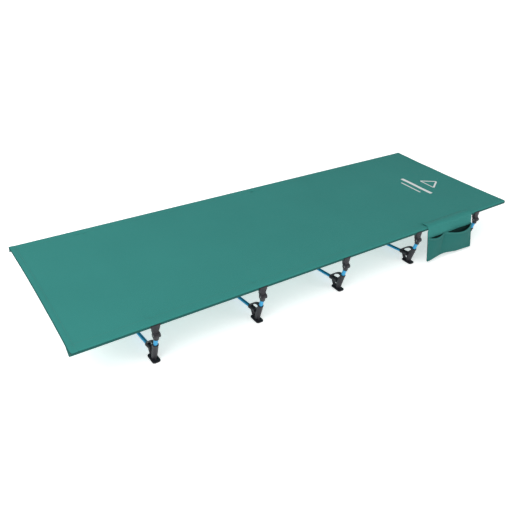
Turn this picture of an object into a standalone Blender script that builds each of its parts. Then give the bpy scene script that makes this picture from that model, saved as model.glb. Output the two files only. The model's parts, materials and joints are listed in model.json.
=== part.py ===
"""Low folding camp cot: a stretched fabric bed on two sectional side poles, held up by five bow legs.

X runs along the bed, with the head end and the pocket at +X. The pocket hangs on the -Y side.
Z is up from the floor. The origin is the bottom centre of the whole cot's box.
"""

import math

import bmesh
import bpy
from mathutils import Matrix, Vector

# ---- driving dimensions, in metres ----
LENGTH = 1.90
WIDTH = 0.633
BED_TOP = 0.1536
BED_CENTER_Y = 0.011  # the pocket reaches further out than the far side does
FABRIC = 0.0015
GAP = 0.0003
RUNNING_GAP = 0.0004

# ---- side poles ----
POLE_R = 0.0070
POLE_BORE_R = 0.0061
SPIGOT_R = 0.0056
SPIGOT_BORE_R = 0.0047
SPIGOT_LENGTH = 0.045
POLE_SECTIONS = 5
SLEEVE_R = POLE_R + RUNNING_GAP + FABRIC
POLE_Y = WIDTH / 2 - SLEEVE_R
POLE_Z = BED_TOP - SLEEVE_R
SEAM_INSET = 0.0245
PLUG_HEAD = 0.004

# ---- legs ----
LEG_X = (-0.701, -0.324, 0.036, 0.409, 0.761)  # the clips go anywhere along the poles
LEAN = math.radians(14)
TUBE_R = 0.007
TUBE_BORE_R = 0.0058
ROD_R = 0.006
ROD_WALL = 0.001
RIM_U = 0.0087  # U is the distance in from the bed's long edge
RIM_Z = 0.069
MOUTH_U = 0.0691
MOUTH_Z = 0.0275
ROD_SLOPE = 0.133
SOCKET_R = 0.0098
ROD_SOCKET_R = 0.0088

# ---- clips: a fixed head on each upright, and a jaw hinged to it ----
BARREL_O = 0.0097  # O is the distance out from the side pole's axis
BARREL_Z = 0.1105
KNUCKLE_R = 0.0095
KNUCKLE_ROOM_R = 0.0103
KNUCKLE_HALF = 0.0078
BARREL_HALF = 0.0107
PIN_R = 0.003
CLAW_HALF = 0.0140
CLAW_Z = POLE_Z - 0.0085
NECK_HALF = 0.0088
NECK_Z = 0.1260
SADDLE_WALL = 0.0032
JAW_WALL = 0.0027
CUP_R = 0.0090
CUP_START = 0.0265  # distances along the upright, up from the foot's rim
CUP_END = 0.0440
TUBE_START = -0.038
TUBE_END = 0.0375

# ---- pocket ----
POCKET_START = 0.455
POCKET_END = 0.719
POCKET_SPLIT = 0.552
FLAP_DEPTH = 0.052
FLAP_THICKNESS = 0.0012
POUCH_LEAN = math.radians(13)
POUCH_LENGTH = 0.128
POUCH_HEM = 0.027
POUCH_GAPE = 0.020
POUCH_WALL = 0.0011

ROUND = 12  # sides of a round piece

NEAR, FAR = "near", "far"


# ---- scene helpers ----
def clear_scene():
    for item in list(bpy.data.objects):
        bpy.data.objects.remove(item)


def new_collection(name):
    collection = bpy.data.collections.new(name)
    bpy.context.scene.collection.children.link(collection)
    return collection


def make_material(name, color, roughness, metallic=0.0):
    material = bpy.data.materials.new(name)
    material.use_nodes = True
    shader = material.node_tree.nodes["Principled BSDF"]
    shader.inputs["Base Color"].default_value = (*color, 1.0)
    shader.inputs["Roughness"].default_value = roughness
    shader.inputs["Metallic"].default_value = metallic
    return material


def add_object(name, data, collection):
    item = bpy.data.objects.new(name, data)
    collection.objects.link(item)
    return item


def bake(item):
    """Returns the object as its modifiers leave it, as a mesh with its ends welded."""
    bpy.context.view_layer.update()
    evaluated = item.evaluated_get(bpy.context.evaluated_depsgraph_get())
    mesh = bpy.data.meshes.new_from_object(evaluated)
    shape = bmesh.new()
    shape.from_mesh(mesh)
    bmesh.ops.remove_doubles(shape, verts=shape.verts, dist=1e-6)
    shape.to_mesh(mesh)
    shape.free()
    mesh.transform(item.matrix_world)
    baked = add_object(item.name + "_mesh", mesh, item.users_collection[0])
    bpy.data.objects.remove(item)
    return baked


def combine(target, tool, operation):
    """Joins, cuts or intersects target with tool, and uses up both."""
    modifier = target.modifiers.new(operation.title(), "BOOLEAN")
    modifier.operation = operation
    modifier.object = tool
    modifier.solver = "EXACT"
    result = bake(target)
    bpy.data.objects.remove(tool)
    return result


def combine_all(target, tools, operation):
    for tool in tools:
        target = combine(target, tool, operation)
    return target


# ---- shape helpers; every outline is a list of points ----
def arc(center, radius, start_deg, end_deg, steps):
    """Points on a circle from start to end, both included."""
    points = []
    for step in range(steps + 1):
        angle = math.radians(start_deg + (end_deg - start_deg) * step / steps)
        point = (center[0] + radius * math.cos(angle), center[1] + radius * math.sin(angle))
        points.append(point)
    return points


def flat_shape(name, outline, holes, half_thickness, matrix):
    """A flat outline with holes, as thick as asked, laid in the plane that matrix gives."""
    curve = bpy.data.curves.new(name, "CURVE")
    curve.dimensions = "2D"
    curve.fill_mode = "BOTH"
    curve.extrude = half_thickness
    for loop in [outline, *holes]:
        spline = curve.splines.new("POLY")
        spline.points.add(len(loop) - 1)
        for place, (a, b) in zip(spline.points, loop):
            place.co = (a, b, 0.0, 1.0)
        spline.use_cyclic_u = True
    item = add_object(name, curve, TOOLS)
    item.matrix_world = matrix
    return bake(item)


# Columns carry an outline's own axes and its thickness to the world's.
SIDE_PLANE = Matrix(((0, 0, 1, 0), (1, 0, 0, 0), (0, 1, 0, 0), (0, 0, 0, 1)))
FRONT_PLANE = Matrix(((1, 0, 0, 0), (0, 0, -1, 0), (0, 1, 0, 0), (0, 0, 0, 1)))


def side_prism(name, outline, half_thickness, center_x=0.0, holes=()):
    """An outline in Y and Z, extruded along X."""
    matrix = Matrix.Translation((center_x, 0, 0)) @ SIDE_PLANE
    return flat_shape(name, outline, holes, half_thickness, matrix)


def front_prism(name, outline, half_thickness, center_y):
    """An outline in X and Z, extruded along Y."""
    matrix = Matrix.Translation((0, center_y, 0)) @ FRONT_PLANE
    return flat_shape(name, outline, (), half_thickness, matrix)


def rod_between(name, start, end, radius, sides=ROUND):
    """A solid cylinder from start to end."""
    start, end = Vector(start), Vector(end)
    shape = bmesh.new()
    bmesh.ops.create_cone(
        shape,
        cap_ends=True,
        segments=sides,
        radius1=radius,
        radius2=radius,
        depth=(end - start).length,
    )
    turn = (end - start).to_track_quat("Z", "Y").to_matrix().to_4x4()
    shape.transform(Matrix.Translation((start + end) / 2) @ turn)
    mesh = bpy.data.meshes.new(name)
    shape.to_mesh(mesh)
    shape.free()
    return add_object(name, mesh, TOOLS)


def block(name, low, high, bevel=0.0):
    """A box from its low corner to its high one, with its upright edges rounded if asked."""
    low, high = Vector(low), Vector(high)
    shape = bmesh.new()
    bmesh.ops.create_cube(shape, size=1.0)
    size = high - low
    shape.transform(Matrix.Translation((low + high) / 2) @ Matrix.Diagonal((*size, 1.0)))
    if bevel:
        upright = [
            edge for edge in shape.edges
            if abs(edge.verts[0].co.z - edge.verts[1].co.z) > size.z / 2
        ]
        bmesh.ops.bevel(
            shape, geom=upright, offset=bevel, segments=2, profile=0.5, affect="EDGES"
        )
    mesh = bpy.data.meshes.new(name)
    shape.to_mesh(mesh)
    shape.free()
    return add_object(name, mesh, TOOLS)


def turned(name, profile, closed, matrix):
    """A profile of (radius, height) points turned about Z, then placed by matrix."""
    mesh = bpy.data.meshes.new(name)
    points = [(radius, 0.0, height) for radius, height in profile]
    edges = [(index, index + 1) for index in range(len(points) - 1)]
    if closed:
        edges.append((len(points) - 1, 0))
    mesh.from_pydata(points, edges, [])
    item = add_object(name, mesh, TOOLS)
    screw = item.modifiers.new("Screw", "SCREW")
    screw.steps = ROUND
    screw.render_steps = ROUND
    screw.use_merge_vertices = True
    screw.merge_threshold = 1e-6
    item.matrix_world = matrix
    return bake(item)


ALONG_X = Matrix.Rotation(math.radians(90), 4, "Y")


def finish_piece(template, names_and_places, material, smooth_deg=35):
    """Turns a finished shape into one named object for each place, all on one mesh."""
    mesh = template.data
    mesh.materials.clear()
    mesh.materials.append(material)
    mesh.shade_smooth()
    mesh.set_sharp_from_angle(angle=math.radians(smooth_deg))
    made = []
    for name, place in names_and_places:
        item = add_object(name, mesh, COT)
        item.matrix_world = place
        made.append(item)
    bpy.data.objects.remove(template)
    return made


def near_y(inset):
    """Y of a point on the near side, before the bed's centre is moved, from its inset U."""
    return inset - WIDTH / 2


def out_y(outward):
    """Y of a point on the near side, before the bed's centre is moved, from its outset O."""
    return -POLE_Y - outward


def leg_place(index, side):
    """Places a near-side shape made at X = 0; the far side is turned half round."""
    place = Matrix.Translation((LEG_X[index], BED_CENTER_Y, 0))
    if side == FAR:
        place = place @ Matrix.Rotation(math.pi, 4, "Z")
    return place


def both_sides(word):
    """Names and places of a piece that every leg has on both sides."""
    return [
        (f"{word}_{side}_{index + 1}", leg_place(index, side))
        for index in range(len(LEG_X))
        for side in (NEAR, FAR)
    ]


def tube_point(distance, x=0.0):
    """A point on the upright's axis, at a distance up from the foot's rim."""
    inset = RIM_U - distance * math.sin(LEAN)
    return Vector((x, near_y(inset), RIM_Z + distance * math.cos(LEAN)))


def rod_point(distance):
    """A point on the line of the cross rod's socket, at a distance out from its mouth."""
    run = distance / math.hypot(1.0, ROD_SLOPE)
    return Vector((0.0, near_y(MOUTH_U - run), MOUTH_Z + run * ROD_SLOPE))


# ---- bed ----
def tangent_angle(seam, radius):
    """Where a line from the seam meets a circle about the pole, on its underside, in degrees."""
    direction = math.degrees(math.atan2(seam[1], seam[0]))
    reach = math.degrees(math.acos(radius / math.hypot(*seam)))
    return direction + reach - 360


def sleeve_arc(radius, seam_inset):
    """The round part of the sleeve over one pole, from the top to the returning cloth."""
    seam = (-seam_inset, SLEEVE_R - FABRIC)
    return arc((POLE_Y, POLE_Z), radius, 90, tangent_angle(seam, radius), 14)


def mirrored(points):
    return [(-y, z) for y, z in reversed(points)]


def bed_section():
    """Outline of the cloth across the bed, with a sleeve rolled under each long edge."""
    seam = (POLE_Y - SEAM_INSET, BED_TOP - FABRIC)
    half = [*sleeve_arc(SLEEVE_R, SEAM_INSET), seam]
    return half + mirrored(half)


def make_bed_sheet(material):
    inner_r = SLEEVE_R - FABRIC
    inner_seam = SEAM_INSET - 2 * FABRIC
    tunnel = [*sleeve_arc(inner_r, inner_seam), (POLE_Y - inner_seam, BED_TOP - FABRIC)]
    sheet = side_prism("sheet", bed_section(), LENGTH / 2)
    # Each sleeve is open at the head end and sewn shut at the foot end.
    for outline in (tunnel, mirrored(tunnel)):
        cutter = side_prism("tunnel", outline, LENGTH / 2, center_x=2 * FABRIC)
        sheet = combine(sheet, cutter, "DIFFERENCE")
    window_half = CLAW_HALF + 0.003
    window_top = POLE_Z + 0.0022
    for x in LEG_X:
        for sign in (-1, 1):
            low_y, high_y = sorted((sign * (WIDTH / 2 - 0.025), sign * (WIDTH / 2 + 0.003)))
            low = (x - window_half, low_y, POLE_Z - 0.03)
            high = (x + window_half, high_y, window_top)
            sheet = combine(sheet, block("window", low, high), "DIFFERENCE")
    finish_piece(sheet, [("bed_sheet", Matrix.Translation((0, BED_CENTER_Y, 0)))], material)


# ---- side poles ----
def make_side_poles(pole_material, plug_material):
    start = -LENGTH / 2 + 2 * FABRIC + 2 * GAP
    end = LENGTH / 2 - GAP
    length = (end - start - (POLE_SECTIONS - 1) * GAP) / POLE_SECTIONS
    tube_end = [(SPIGOT_R, length), (POLE_R, length), (POLE_R, 0.0)]
    spigot_tip = [(SPIGOT_BORE_R, length + SPIGOT_LENGTH), (SPIGOT_R, length + SPIGOT_LENGTH)]
    spigot_root = length - SPIGOT_LENGTH / 2
    bore_step = [(POLE_BORE_R, spigot_root), (SPIGOT_BORE_R, spigot_root)]
    wall = 0.003
    closed_foot = [(0.0, wall), (POLE_BORE_R, wall), *bore_step, *spigot_tip, *tube_end, (0.0, 0.0)]
    middle = [(POLE_BORE_R, 0.0), *bore_step, *spigot_tip, *tube_end]
    plain_head = [(POLE_R, length), (POLE_R, 0.0), (POLE_BORE_R, 0.0), (POLE_BORE_R, length)]
    for number in range(1, POLE_SECTIONS + 1):
        if number == 1:
            profile, closed = closed_foot, False
        elif number == POLE_SECTIONS:
            profile, closed = plain_head, True
        else:
            profile, closed = middle, True
        section = turned("section", profile, closed, ALONG_X)
        x = start + (number - 1) * (length + GAP)
        finish_piece(section, pole_places(f"side_pole_SIDE_{number}", x), pole_material)
    plug = turned("plug", plug_profile(), False, ALONG_X)
    finish_piece(plug, pole_places("pole_plug_SIDE", end), plug_material)


def pole_places(pattern, x):
    return [
        (pattern.replace("SIDE", NEAR), Matrix.Translation((x, BED_CENTER_Y - POLE_Y, POLE_Z))),
        (pattern.replace("SIDE", FAR), Matrix.Translation((x, BED_CENTER_Y + POLE_Y, POLE_Z))),
    ]


def plug_profile():
    """A pressed-in cap: a rounded head outside the pole and a stem inside it."""
    edge = 0.0016
    top = GAP + PLUG_HEAD
    rounded = arc((POLE_R - edge, top - edge), edge, 90, 0, 3)
    return [(0.0, top), *rounded, (POLE_R, GAP), (SPIGOT_R, GAP), (SPIGOT_R, -0.018), (0.0, -0.018)]


# ---- legs ----
def make_uprights(material):
    """A straight aluminium tube, from inside the foot's socket to inside the head's cup."""
    tube = rod_between("tube", tube_point(TUBE_START), tube_point(TUBE_END), TUBE_R)
    overrun = 0.002
    bottom, top = tube_point(TUBE_START - overrun), tube_point(TUBE_END + overrun)
    bore = rod_between("bore", bottom, top, TUBE_BORE_R)
    tube = combine(tube, bore, "DIFFERENCE")
    finish_piece(tube, both_sides("upright"), material)


def rod_route():
    """The cross rod's centre line: straight in each socket, bowed down between them."""
    span = -near_y(MOUTH_U)
    sag = ROD_SLOPE * span / 2
    tip = rod_point(0.027)
    steps = 8
    route = [tip]
    for step in range(steps + 1):
        y = -span + 2 * span * step / steps
        route.append(Vector((0.0, y, MOUTH_Z - sag * (1 - (y / span) ** 2))))
    route.append(Vector((0.0, -tip.y, tip.z)))
    return route


def make_cross_rods(material):
    curve = bpy.data.curves.new("rod", "CURVE")
    curve.dimensions = "3D"
    curve.bevel_depth = ROD_R
    curve.bevel_resolution = 2
    route = rod_route()
    spline = curve.splines.new("POLY")
    spline.points.add(len(route) - 1)
    for place, point in zip(spline.points, route):
        place.co = (*point, 1.0)
    rod = bake(add_object("rod", curve, TOOLS))
    wall = rod.modifiers.new("Wall", "SOLIDIFY")
    wall.thickness = ROD_WALL
    wall.offset = -1.0
    rod = bake(rod)
    names = [(f"cross_rod_{i + 1}", leg_place(i, NEAR)) for i in range(len(LEG_X))]
    finish_piece(rod, names, material)


def foot_points(points):
    """Turns (U, Z) points into the (Y, Z) of the near side."""
    return [(near_y(u), z) for u, z in points]


def foot_web():
    """The thin web between the sockets, with its two lightening holes."""
    outline = [
        (0.012, 0.003), (0.047, 0.003), (0.0525, 0.010), (0.061, 0.0235), (0.0635, 0.033),
        (0.050, 0.0355), (0.0385, 0.0395), (0.0305, 0.045), (0.025, 0.0525), (0.018, 0.052),
        (0.016, 0.030),
    ]
    upper = [(near_y(0.0297) + 0.0028 * c, 0.0378 + 0.0028 * s) for c, s in circle(8)]
    lower = [(near_y(0.0378) + 0.0055 * c, 0.0165 + 0.0055 * s) for c, s in circle(8)]
    return side_prism("web", foot_points(outline), 0.0032, holes=(upper, lower))


def circle(steps):
    turns = [2 * math.pi * step / steps for step in range(steps)]
    return [(math.cos(turn), math.sin(turn)) for turn in turns]


def foot_arch():
    """The bar that bridges the tops of the two sockets, over an open gap."""
    outer = [(0.014, 0.0685), (0.026, 0.068), (0.038, 0.063), (0.0495, 0.0545), (0.0675, 0.0375)]
    inner = [(0.061, 0.0315), (0.0475, 0.0495), (0.037, 0.057), (0.027, 0.062), (0.017, 0.061)]
    return side_prism("arch", foot_points(outer + inner), 0.0055)


def foot_base():
    """The flat sole, wider than the web, with rounded corners."""
    low = (-0.0135, near_y(0.0025), 0.0)
    high = (0.0135, near_y(0.0495), 0.0045)
    return block("base", low, high, bevel=0.008)


def make_feet(material):
    foot = foot_base()
    sockets = [
        rod_between("tube_socket", tube_point(-0.066), tube_point(0.0), SOCKET_R),
        rod_between("rod_socket", rod_point(0.036), rod_point(0.0), ROD_SOCKET_R),
    ]
    foot = combine_all(foot, [foot_web(), *sockets, foot_arch()], "UNION")
    bores = [
        rod_between("tube_bore", tube_point(TUBE_START - 0.001), tube_point(0.01), TUBE_R + RUNNING_GAP),
        rod_between("rod_bore", rod_point(0.028), rod_point(-0.01), ROD_R + RUNNING_GAP),
        block("floor", (-0.05, near_y(0.0), -0.05), (0.05, near_y(0.12), 0.0)),
    ]
    foot = combine_all(foot, bores, "DIFFERENCE")
    finish_piece(foot, both_sides("foot"), material)


# ---- clips ----
def clip_points(points):
    """Turns (O, Z) points into the (Y, Z) of the near side."""
    return [(out_y(o), z) for o, z in points]


def about_pole(radius, start_deg, end_deg, steps):
    """An arc about the side pole in (O, Z)."""
    return arc((0.0, POLE_Z), radius, start_deg, end_deg, steps)


def barrel(name, radius, start_x, end_x):
    """A cylinder on the hinge between a head and its jaw."""
    y = out_y(BARREL_O)
    return rod_between(name, (start_x, y, BARREL_Z), (end_x, y, BARREL_Z), radius)


def hourglass(bottom_half):
    """The clip's outline from the side of the bed: a wide claw, a waist and a barrel."""
    half = [
        (bottom_half, 0.085), (bottom_half, 0.1170), (NECK_HALF, 0.1220), (NECK_HALF, NECK_Z),
        (CLAW_HALF, CLAW_Z), (CLAW_HALF, BED_TOP),
    ]
    return half + [(-x, z) for x, z in reversed(half)]


def head_profile():
    """The neck, and the saddle that the pole lies in, open on the outer side and at the top."""
    inner_r = POLE_R + RUNNING_GAP
    back = about_pole(inner_r + SADDLE_WALL, 180, 236, 3)
    neck = [(-0.0045, 0.1200), (0.0010, 0.1080), (0.0100, 0.1080), (0.0070, 0.1180)]
    lip = (0.0045, POLE_Z - 0.0125)
    return [*back, *neck, lip, *about_pole(inner_r, 305, 180, 7)]


def make_heads(material):
    """The fixed half of a clip: a cup on the upright, a knuckle, a neck and a saddle."""
    body = side_prism("neck", clip_points(head_profile()), CLAW_HALF)
    shape = front_prism("hourglass", hourglass(NECK_HALF), 0.05, out_y(0.0))
    body = combine(body, shape, "INTERSECT")
    added = [
        barrel("knuckle", KNUCKLE_R, -KNUCKLE_HALF, KNUCKLE_HALF),
        rod_between("cup", tube_point(CUP_START), tube_point(CUP_END), CUP_R),
    ]
    body = combine_all(body, added, "UNION")
    bore_end = TUBE_END + 2 * GAP
    removed = [
        barrel("left_room", KNUCKLE_ROOM_R, -0.03, -KNUCKLE_HALF),
        barrel("right_room", KNUCKLE_ROOM_R, KNUCKLE_HALF, 0.03),
        barrel("pin_hole", PIN_R + RUNNING_GAP, -0.03, 0.03),
        rod_between("tube_bore", tube_point(0.01), tube_point(bore_end), TUBE_R + RUNNING_GAP),
    ]
    body = combine_all(body, removed, "DIFFERENCE")
    finish_piece(body, both_sides("clip_head"), material)


def jaw_profile():
    """The hinged plate that closes the saddle's outer side."""
    inner_r = POLE_R + RUNNING_GAP
    outer_o = inner_r + JAW_WALL
    top = POLE_Z + 0.0010
    foot_z = BARREL_Z - 0.0010
    inner = [(0.0085, foot_z), (0.0078, 0.1170), (0.0050, POLE_Z - 0.0115)]
    outer = [(inner_r, top), (outer_o, top), (outer_o, CLAW_Z), (0.0112, NECK_Z), (0.0175, foot_z)]
    return [*inner, *about_pole(inner_r, -36, 0, 3), *outer]


def make_jaws(material):
    """The moving half of a clip: outer knuckles, their pin and the plate."""
    plate = side_prism("plate", clip_points(jaw_profile()), CLAW_HALF)
    shape = front_prism("hourglass", hourglass(BARREL_HALF - GAP), 0.05, out_y(0.0))
    jaw = combine(plate, shape, "INTERSECT")
    inner_x = KNUCKLE_HALF + RUNNING_GAP
    knuckles = [
        barrel("left_knuckle", KNUCKLE_R, -BARREL_HALF, -inner_x),
        barrel("right_knuckle", KNUCKLE_R, inner_x, BARREL_HALF),
    ]
    jaw = combine_all(jaw, knuckles, "UNION")
    jaw = combine(jaw, barrel("room", KNUCKLE_ROOM_R, -inner_x, inner_x), "DIFFERENCE")
    pin_half = BARREL_HALF - 0.001
    jaw = combine(jaw, barrel("pin", PIN_R, -pin_half, pin_half), "UNION")
    # The mesh is moved to the hinge, so each jaw turns about its own origin.
    hinge = Matrix.Translation((0.0, out_y(BARREL_O), BARREL_Z))
    jaw.data.transform(hinge.inverted())
    places = [(name, place @ hinge) for name, place in both_sides("clip_jaw")]
    finish_piece(jaw, places, material)


# ---- pocket ----
def make_pocket_flap(material):
    """The cloth that lies on the bed and turns down over its edge."""
    under_r = SLEEVE_R + GAP
    over_r = under_r + FLAP_THICKNESS
    hem_z = POLE_Z - 0.004
    over = [(near_y(FLAP_DEPTH), POLE_Z + over_r), *arc((-POLE_Y, POLE_Z), over_r, 90, 180, 6)]
    under = [*arc((-POLE_Y, POLE_Z), under_r, 180, 90, 6), (near_y(FLAP_DEPTH), POLE_Z + under_r)]
    outline = [*over, (-POLE_Y - over_r, hem_z), (-POLE_Y - under_r, hem_z), *under]
    half = (POCKET_END - POCKET_START) / 2
    flap = side_prism("flap", outline, half, center_x=(POCKET_START + POCKET_END) / 2)
    finish_piece(flap, [("pocket_flap", Matrix.Translation((0, BED_CENTER_Y, 0)))], material)


def pouch_points(points):
    """Turns (down, out) points of the leaning pouch into Y and Z about its hinge."""
    made = []
    for down, out in points:
        y = -down * math.sin(POUCH_LEAN) - out * math.cos(POUCH_LEAN)
        z = -down * math.cos(POUCH_LEAN) + out * math.sin(POUCH_LEAN)
        made.append((y, z))
    return made


def make_pocket_pouch(material):
    """The hanging pocket, with two compartments, hinged at the outer face of the cloth above it."""
    toe = 0.0036
    outline = [
        (GAP, -POUCH_WALL), (GAP, 0.0), (POUCH_HEM, 0.0), (POUCH_HEM, POUCH_GAPE),
        (POUCH_LENGTH, toe), (POUCH_LENGTH, -POUCH_WALL),
    ]
    bottom = POUCH_LENGTH - POUCH_WALL
    room = [
        (POUCH_HEM - 0.01, 0.0), (POUCH_HEM - 0.01, POUCH_GAPE + 0.0005),
        (bottom, toe - POUCH_WALL), (bottom, 0.0),
    ]
    half = (POCKET_END - POCKET_START) / 2
    pouch = side_prism("pouch", pouch_points(outline), half, (POCKET_START + POCKET_END) / 2)
    walls = [
        (POCKET_START + POUCH_WALL, POCKET_SPLIT - POUCH_WALL / 2),
        (POCKET_SPLIT + POUCH_WALL / 2, POCKET_END - POUCH_WALL),
    ]
    for start, end in walls:
        cavity = side_prism("room", pouch_points(room), (end - start) / 2, (start + end) / 2)
        pouch = combine(pouch, cavity, "DIFFERENCE")
    hinge_y = BED_CENTER_Y - POLE_Y - SLEEVE_R - GAP - FLAP_THICKNESS
    hinge = Matrix.Translation((0, hinge_y, POLE_Z - 0.0042))
    finish_piece(pouch, [("pocket_pouch", hinge)], material)


clear_scene()
COT = new_collection("folding_cot")
TOOLS = new_collection("tools")
green_cloth = make_material("green_cloth", (0.050, 0.266, 0.231), 0.85)
blue_tube = make_material("blue_tube", (0.060, 0.430, 0.750), 0.28, metallic=0.8)
black_tube = make_material("black_tube", (0.012, 0.012, 0.014), 0.35, metallic=0.6)
black_plastic = make_material("black_plastic", (0.012, 0.012, 0.015), 0.45)
make_bed_sheet(green_cloth)
make_side_poles(black_tube, black_plastic)
make_feet(black_plastic)
make_uprights(blue_tube)
make_cross_rods(blue_tube)
make_heads(black_plastic)
make_jaws(black_plastic)
make_pocket_flap(green_cloth)
make_pocket_pouch(green_cloth)
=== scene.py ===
import json
import math
import random

import bmesh
import bpy
import numpy as np
from mathutils import Matrix, Vector, noise


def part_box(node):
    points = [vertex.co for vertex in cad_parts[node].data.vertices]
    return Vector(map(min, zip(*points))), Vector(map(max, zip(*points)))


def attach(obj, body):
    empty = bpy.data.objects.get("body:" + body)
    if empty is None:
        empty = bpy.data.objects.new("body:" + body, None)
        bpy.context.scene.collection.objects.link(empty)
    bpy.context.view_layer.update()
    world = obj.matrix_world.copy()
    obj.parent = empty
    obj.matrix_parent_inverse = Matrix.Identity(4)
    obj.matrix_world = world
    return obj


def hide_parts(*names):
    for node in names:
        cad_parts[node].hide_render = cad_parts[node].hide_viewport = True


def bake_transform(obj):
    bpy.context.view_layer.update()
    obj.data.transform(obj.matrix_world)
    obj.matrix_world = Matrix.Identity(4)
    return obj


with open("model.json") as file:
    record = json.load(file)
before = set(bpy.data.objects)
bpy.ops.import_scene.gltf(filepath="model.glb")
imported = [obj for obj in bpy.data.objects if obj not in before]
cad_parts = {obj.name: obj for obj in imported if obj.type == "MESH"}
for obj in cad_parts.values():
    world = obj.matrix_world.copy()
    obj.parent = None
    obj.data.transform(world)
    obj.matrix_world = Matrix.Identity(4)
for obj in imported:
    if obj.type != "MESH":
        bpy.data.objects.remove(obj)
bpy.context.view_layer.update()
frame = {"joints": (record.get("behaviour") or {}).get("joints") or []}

SIDES = 32  # sides of a round piece
NEAR, FAR = "near", "far"
BED, POCKET = "bed", "pocket"

# ---- places taken from the frame, in metres ----
BED_LOW, BED_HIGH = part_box("bed_sheet")
POLE_LOW, POLE_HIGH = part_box("side_pole_near_2")
LEG_COUNT = 5
POLE_SECTIONS = 5
LENGTH = BED_HIGH.x - BED_LOW.x
WIDTH = BED_HIGH.y - BED_LOW.y
BED_TOP = BED_HIGH.z
BED_CENTER_Y = (BED_LOW.y + BED_HIGH.y) / 2
POLE_R = (POLE_HIGH.z - POLE_LOW.z) / 2
POLE_Z = (POLE_HIGH.z + POLE_LOW.z) / 2
SLEEVE_R = BED_TOP - POLE_Z
POLE_Y = WIDTH / 2 - SLEEVE_R
NEAR_AXIS = BED_CENTER_Y - POLE_Y
FAR_AXIS = BED_CENTER_Y + POLE_Y
FLAP_LOW, FLAP_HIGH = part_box("pocket_flap")
POCKET_LENGTH = FLAP_HIGH.x - FLAP_LOW.x
SWING = next(joint for joint in frame["joints"] if joint["name"] == "pocket_swing")
HINGE_Y, HINGE_Z = SWING["pos_m"][1:]

# ---- cloth ----
CLOTH = 0.0009
WEAVE_PITCH = 0.0011
STITCH_PITCH = 0.0045
STITCH_SHARE = 0.68  # of the pitch that shows thread
STITCH_R = 0.00045
UP = (0.0, 0.0, 1.0)
SEAM_INSET = 0.0245
WINDOW_HALF = 0.0170
WINDOW_INSET = 0.0161  # in from the pole's axis
WINDOW_TOP = 0.0022  # above the pole's axis
HEM = 0.022
END_DIP = 0.004
CORNER_R = 0.009
SHADE_EDGE_Z = 0.0045  # above the pole's axis, where the sleeve's outer strip of painted shade begins

# ---- pocket ----
COVER_DEPTH = 0.0215  # in from the pole's axis
COVER_TOP = 0.0050  # above the bed
COVER_R = 0.015
COVER_CREST = 0.0028  # in from the pole's axis
COVER_HEM_Z = 0.107
POUCH_LEAN = math.radians(13)
POUCH_LENGTH = 0.128
POUCH_HEM = 0.029
POUCH_SPLIT = 0.37
POCKET_COLUMNS = 64
POCKET_PITCH = 0.004  # of its stitches
TAPE = 0.0012

# ---- legs, on the near side: U is the distance in from the bed's edge, O out from the pole's axis ----
LEAN = math.radians(14)
TUBE_R = 0.007
TUBE_BORE_R = 0.0058
ROD_R = 0.006
RUNNING_GAP = 0.0004
RIM_U = 0.0087
RIM_Z = 0.069
MOUTH_U = 0.0691
MOUTH_Z = 0.0275
ROD_SLOPE = 0.133
SOCKET_R = 0.0098
ROD_SOCKET_R = 0.0088
BARREL_O = 0.0097
BARREL_Z = 0.1105
KNUCKLE_R = 0.0095
KNUCKLE_ROOM_R = 0.0103
KNUCKLE_HALF = 0.0078
BARREL_HALF = 0.0107
PIN_R = 0.003
CLAW_HALF = 0.0140
CLAW_Z = POLE_Z - 0.0085
NECK_HALF = 0.0088
NECK_Z = 0.1260
SADDLE_WALL = 0.0032
JAW_WALL = 0.0027
CUP_R = 0.0090
CUP_START = 0.0265
CUP_END = 0.0440
TUBE_START = -0.038
TUBE_END = 0.0375

# ---- side poles ----
SPIGOT_R = 0.0056
POLE_BORE_R = 0.0061
SPIGOT_LENGTH = 0.045
SPIGOT_HOLD = 0.02  # inside its own section
PLUG_HEAD = 0.004
PLUG_ROUND = 0.0018


# ---- camera ----
def add_camera():
    data = bpy.data.cameras.new("camera")
    data.lens = 39.64
    camera = add_object("camera", data)
    heading = Matrix.Rotation(math.radians(-35.75), 4, "Z")
    pitch = Matrix.Rotation(math.radians(90 - 31.55), 4, "X")
    roll = Matrix.Rotation(math.radians(3.16), 4, "Z")
    camera.matrix_world = Matrix.Translation((-1.2135, -1.4846, 1.1713)) @ heading @ pitch @ roll
    bpy.context.scene.camera = camera


# ---- material helpers ----
def new_material(name):
    material = bpy.data.materials.new(name)
    material.use_nodes = True
    return material, material.node_tree, material.node_tree.nodes["Principled BSDF"]


def connect(tree, socket, value):
    """Gives an input its value, or the output that feeds it."""
    if isinstance(value, bpy.types.NodeSocket):
        tree.links.new(value, socket)
    else:
        socket.default_value = value


def add_node(tree, kind, inputs, **settings):
    node = tree.nodes.new(kind)
    for name, value in settings.items():
        setattr(node, name, value)
    for socket, value in inputs.items():
        connect(tree, node.inputs[socket], value)
    return node


def set_inputs(tree, shader, **values):
    for name, value in values.items():
        connect(tree, shader.inputs[name.replace("_", " ")], value)


def add_noise(tree, place, scale, detail=3.0, roughness=0.5):
    inputs = {"Vector": place, "Scale": scale, "Detail": detail, "Roughness": roughness}
    return add_node(tree, "ShaderNodeTexNoise", inputs).outputs["Fac"]


def spread(tree, value, low, high, from_low=0.3, from_high=0.7):
    """Maps a value's usual range to low..high."""
    inputs = {"Value": value, "From Min": from_low, "From Max": from_high, "To Min": low, "To Max": high}
    return add_node(tree, "ShaderNodeMapRange", inputs).outputs["Result"]


def mix_colors(tree, factor, first, second, blend="MIX"):
    inputs = {0: factor, 6: first, 7: second}  # its factor and two colours
    return add_node(tree, "ShaderNodeMix", inputs, data_type="RGBA", blend_type=blend).outputs[2]


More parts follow.
